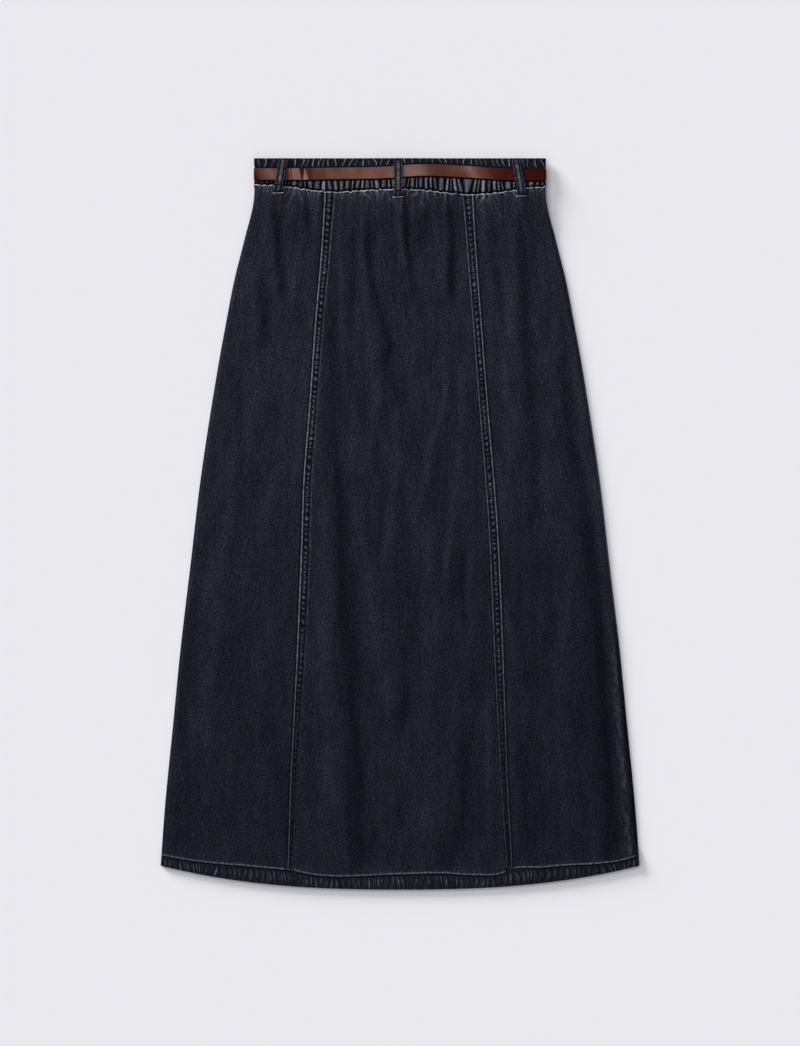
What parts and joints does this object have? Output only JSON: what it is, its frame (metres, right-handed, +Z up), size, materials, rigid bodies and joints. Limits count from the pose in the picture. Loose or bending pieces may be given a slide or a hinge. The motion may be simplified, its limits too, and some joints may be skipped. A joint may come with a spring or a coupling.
{
  "type": "denim skirt",
  "caption": "Gored A-line denim skirt with a gathered waist, belt loops, a narrow turned-up hem and a slim leather belt, laid flat with its back up.",
  "frame": {"origin": "on the floor, under the middle of the skirt's length and width", "axes": "+Y from hem to waist, +Z up out of the back, +X across to the wearer's right; the front lies down"},
  "size_m": [0.5892, 0.9, 0.0177],
  "materials": {
    "denim": "washed black-blue twill, soft and matt",
    "thread": "worn grey topstitching thread",
    "leather": "smooth waxed brown leather, soft sheen",
    "brass": "aged brass wire, softly polished"
  },
  "bodies": {
    "root": {"back_centre": "denim", "back_left": "denim", "back_right": "denim", "front": "denim", "waistband_back": "denim", "waistband_front": "denim", "loop_back_left": "denim", "loop_back_centre": "denim", "loop_back_right": "denim", "loop_front_left": "denim", "loop_front_right": "denim", "belt": "leather", "belt_keeper": "leather", "belt_buckle": "brass", "belt_prong": "brass"}
  },
  "joints": []
}
